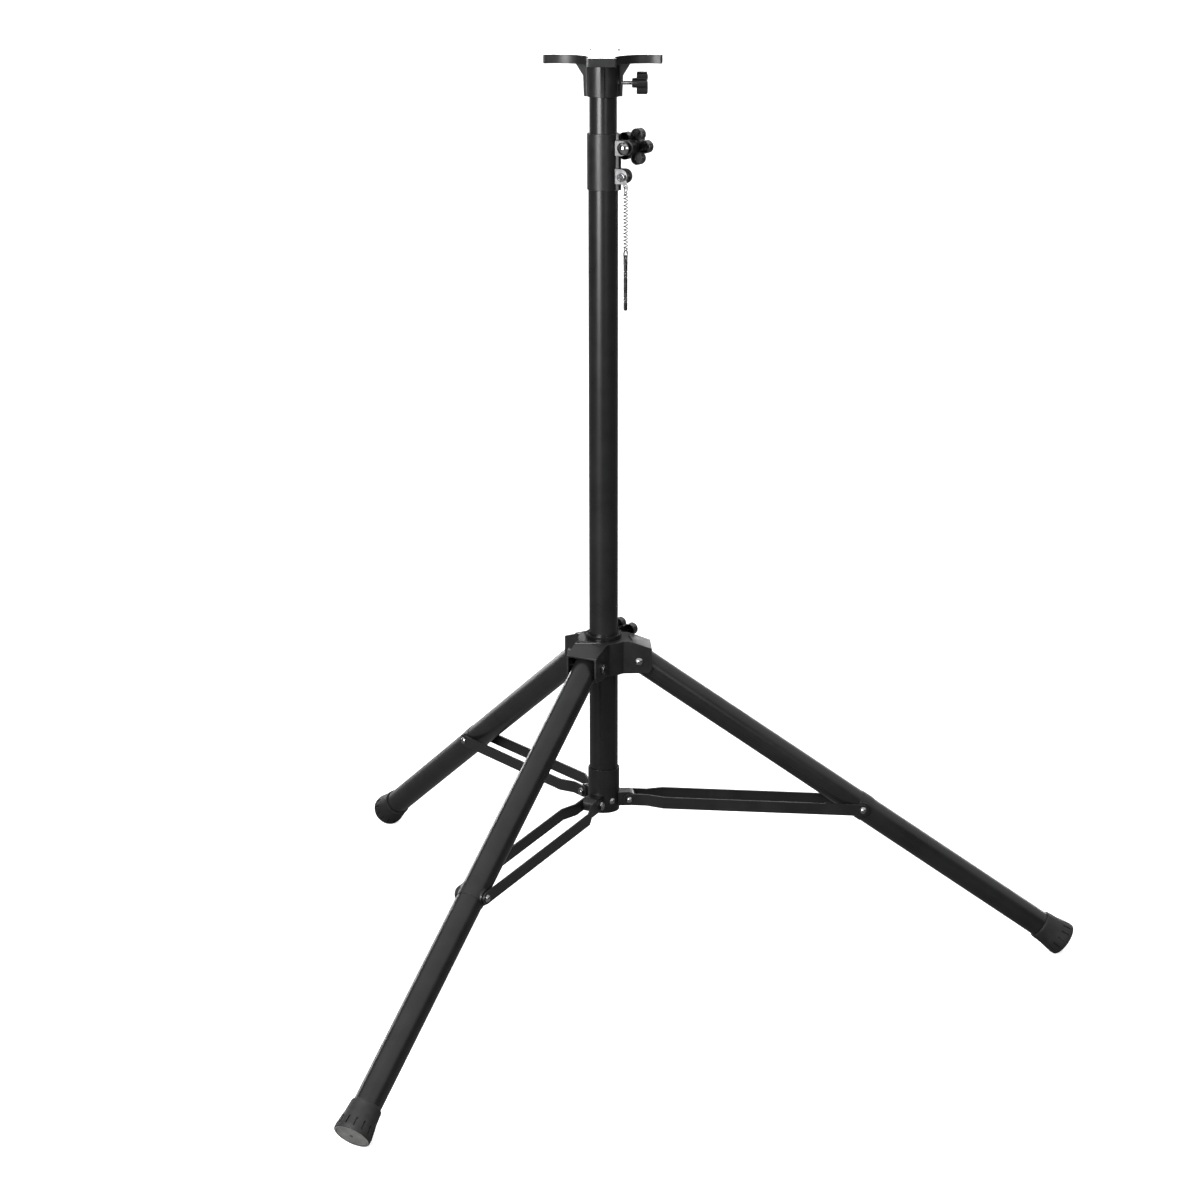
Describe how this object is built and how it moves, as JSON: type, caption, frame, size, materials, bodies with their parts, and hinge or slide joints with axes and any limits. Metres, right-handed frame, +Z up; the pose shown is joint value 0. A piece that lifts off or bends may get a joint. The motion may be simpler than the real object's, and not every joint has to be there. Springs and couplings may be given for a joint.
{
  "type": "speaker tripod stand",
  "caption": "Folding tripod stand for a loudspeaker: braced legs on a sliding hub, a telescopic mast with a clamp knob and a locking pin, and a star-shaped mounting plate on top.",
  "frame": {"origin": "on the floor, under the mast's axis", "axes": "+Z up along the mast, +X along spread leg 1"},
  "size_m": [0.9863, 1.1316, 1.2256],
  "materials": {
    "black_tube": "satin black powder coat on steel tube",
    "black_casting": "satin black paint on cast metal",
    "black_strap": "satin black paint on flat steel",
    "black_plastic": "moulded black plastic",
    "dark_plastic": "moulded dark grey plastic bush",
    "plated_steel": "bright zinc-plated steel",
    "screw_steel": "bright plated screws and nuts",
    "pin_steel": "dark oiled steel",
    "brass": "threaded brass insert",
    "rubber": "black rubber"
  },
  "bodies": {
    "mast": {"outer_tube": "black_tube", "tube_end_plug": "black_plastic", "guide_bush": "black_plastic", "clamp_sleeve": "black_casting", "clamp_plates": "plated_steel", "knob_bolt": "screw_steel", "lower_clamp_bolt": "screw_steel", "lower_clamp_nut": "screw_steel", "lanyard_eyelet": "plated_steel", "bottom_collar": "black_casting", "collar_screw": "screw_steel", "collar_pivot_bolts": "screw_steel", "collar_pivot_nuts": "screw_steel"},
    "sliding_pole": {"pole": "black_tube", "pole_glide": "black_plastic", "pole_cap": "black_plastic"},
    "plate": {"mounting_plate": "black_casting"},
    "thumb": {"thumb_screw": "screw_steel", "thumb_knob": "black_plastic"},
    "clamp_handle": {"clamp_knob": "black_plastic", "clamp_knob_insert": "brass"},
    "hub": {"hub_casting": "black_casting", "hub_bush": "dark_plastic", "hub_pivot_bolts": "screw_steel", "hub_pivot_nuts": "screw_steel"},
    "hub_handle": {"hub_knob": "black_plastic", "hub_knob_screw": "screw_steel"},
    "lanyard": {"lanyard_hook": "plated_steel", "lanyard_spring": "plated_steel", "pin_ring": "plated_steel", "locking_pin": "pin_steel"},
    "leg_1": {"leg_tube_1": "black_tube", "leg_plug_1": "black_plastic", "leg_bracket_1": "black_strap", "foot_1": "rubber"},
    "brace_1": {"brace_left_1": "black_strap", "brace_right_1": "black_strap", "brace_screws_1": "screw_steel"},
    "leg_2": {"leg_tube_2": "black_tube", "leg_plug_2": "black_plastic", "leg_bracket_2": "black_strap", "foot_2": "rubber"},
    "brace_2": {"brace_left_2": "black_strap", "brace_right_2": "black_strap", "brace_screws_2": "screw_steel"},
    "leg_3": {"leg_tube_3": "black_tube", "leg_plug_3": "black_plastic", "leg_bracket_3": "black_strap", "foot_3": "rubber"},
    "brace_3": {"brace_left_3": "black_strap", "brace_right_3": "black_strap", "brace_screws_3": "screw_steel"}
  },
  "joints": [
    {"name": "hub_slide", "type": "slide", "parent": "mast", "child": "hub", "axis": [0, 0, 1], "range_m": [0, 0.48939]},
    {"name": "pole_slide", "type": "slide", "parent": "mast", "child": "sliding_pole", "axis": [0, 0, 1], "range_m": [-0.038, 0.56]},
    {"name": "plate_turn", "type": "hinge", "parent": "sliding_pole", "child": "plate", "pos_m": [0, 0, 1.2], "axis": [0, 0, 1], "continuous": true},
    {"name": "thumb_screw_turn", "type": "hinge", "parent": "plate", "child": "thumb", "pos_m": [0, 0, 1.1894], "axis": [0.9976, -0.0698, 0], "continuous": true},
    {"name": "clamp_knob_turn", "type": "hinge", "parent": "mast", "child": "clamp_handle", "pos_m": [0.02771, -0.016, 1.1095], "axis": [0.5, 0.866, 0], "continuous": true},
    {"name": "hub_knob_turn", "type": "hinge", "parent": "hub", "child": "hub_handle", "pos_m": [0, 0, 0.452], "axis": [0.5, 0.866, 0], "continuous": true},
    {"name": "lanyard_swing", "type": "hinge", "parent": "mast", "child": "lanyard", "pos_m": [0.02731, -0.0257, 1.0625], "axis": [-0.5, -0.866, 0], "range_deg": [-5, 85]},
    {"name": "leg_fold_1", "type": "hinge", "parent": "hub", "child": "leg_1", "pos_m": [0.046, 0, 0.434], "axis": [0, 1, 0], "range_deg": [0, 52.9]},
    {"name": "brace_fold_1", "type": "hinge", "parent": "mast", "child": "brace_1", "pos_m": [0.034, 0, 0.237], "axis": [0, -1, 0], "range_deg": [0, 88.7]},
    {"name": "leg_fold_2", "type": "hinge", "parent": "hub", "child": "leg_2", "pos_m": [-0.023, 0.03984, 0.434], "axis": [-0.866, -0.5, 0], "range_deg": [0, 52.9]},
    {"name": "brace_fold_2", "type": "hinge", "parent": "mast", "child": "brace_2", "pos_m": [-0.017, 0.02944, 0.237], "axis": [0.866, 0.5, 0], "range_deg": [0, 88.7]},
    {"name": "leg_fold_3", "type": "hinge", "parent": "hub", "child": "leg_3", "pos_m": [-0.023, -0.03984, 0.434], "axis": [0.866, -0.5, 0], "range_deg": [0, 52.9]},
    {"name": "brace_fold_3", "type": "hinge", "parent": "mast", "child": "brace_3", "pos_m": [-0.017, -0.02944, 0.237], "axis": [-0.866, 0.5, 0], "range_deg": [0, 88.7]}
  ],
  "couplings": [
    {"joint": "leg_fold_1", "follows": "hub_slide", "rad_per_m": 1.8866},
    {"joint": "brace_fold_1", "follows": "hub_slide", "rad_per_m": 3.1632},
    {"joint": "leg_fold_2", "follows": "hub_slide", "rad_per_m": 1.8866},
    {"joint": "brace_fold_2", "follows": "hub_slide", "rad_per_m": 3.1632},
    {"joint": "leg_fold_3", "follows": "hub_slide", "rad_per_m": 1.8866},
    {"joint": "brace_fold_3", "follows": "hub_slide", "rad_per_m": 3.1632}
  ]
}
